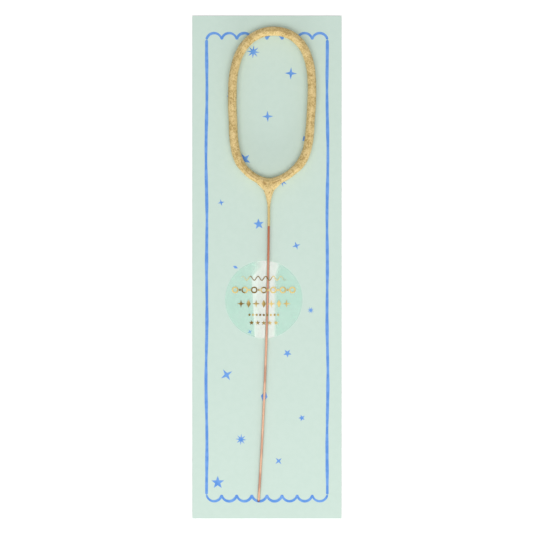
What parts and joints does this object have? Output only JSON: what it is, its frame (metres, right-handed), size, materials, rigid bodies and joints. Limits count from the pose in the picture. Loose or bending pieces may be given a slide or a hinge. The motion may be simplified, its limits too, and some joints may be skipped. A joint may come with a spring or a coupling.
{
  "type": "number sparkler candle",
  "caption": "Gold sparkler in the shape of a nought on a copper-plated wire stem, held flat on a pale printed card by a round film label.",
  "frame": {"origin": "middle of the card's back face, in the plane that the card lies on", "axes": "+X to the card's right, +Y to the top of the number, +Z out of the printed face"},
  "size_m": [0.0564, 0.19, 0.0049],
  "materials": {
    "card_board": "matte",
    "label_film": "satin",
    "copper_wire": "satin",
    "grey_mix": "matte",
    "gold_finish": "matte",
    "blue_ink": "matte",
    "gold_foil": "satin"
  },
  "bodies": {
    "card": {"backing_card": "card_board", "round_label": "label_film"},
    "sparkler": {"wire": "copper_wire", "sparkler_mix": "grey_mix", "gold_coat": "gold_finish"}
  },
  "joints": [
    {"name": "sparkler_pull", "type": "slide", "parent": "card", "child": "sparkler", "axis": [0.037, 0.9993, 0.0108], "range_m": [0, 0.096]}
  ]
}
